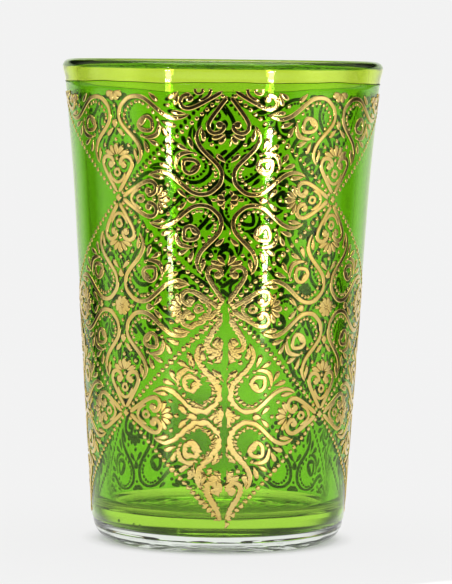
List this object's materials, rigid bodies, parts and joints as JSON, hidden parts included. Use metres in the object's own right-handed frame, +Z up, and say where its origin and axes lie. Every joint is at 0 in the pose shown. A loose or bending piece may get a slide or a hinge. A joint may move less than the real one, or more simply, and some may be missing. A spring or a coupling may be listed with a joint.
{
  "type": "tea glass",
  "caption": "Tapered clear tea glass with a rounded rim and thick floor, green lacquer outside and a raised gold lattice of lozenges; holds hot tea.",
  "frame": {"origin": "On the table in the middle of the foot, on the glass's axis.", "axes": "+Z is up along the glass's axis, -Y is the front with a filled lozenge under the rim, +X is to the right with a plain green window."},
  "size_m": [0.06, 0.06, 0.09],
  "materials": {
    "clear_glass": "pressed and fire polished, clear",
    "green_lacquer": "glossy translucent lacquer",
    "lip_wash_lacquer": "thin glossy translucent wash",
    "gold": "raised gold print, satin bright"
  },
  "bodies": {
    "root": {"glass_body": "clear_glass", "green_coat": "green_lacquer", "lip_wash": "lip_wash_lacquer", "gold_border_lines": "gold", "gold_knots": "gold", "gold_ribbons": "gold", "gold_hearts": "gold", "gold_palmettes": "gold", "gold_drops": "gold", "gold_rosettes": "gold"}
  },
  "joints": []
}
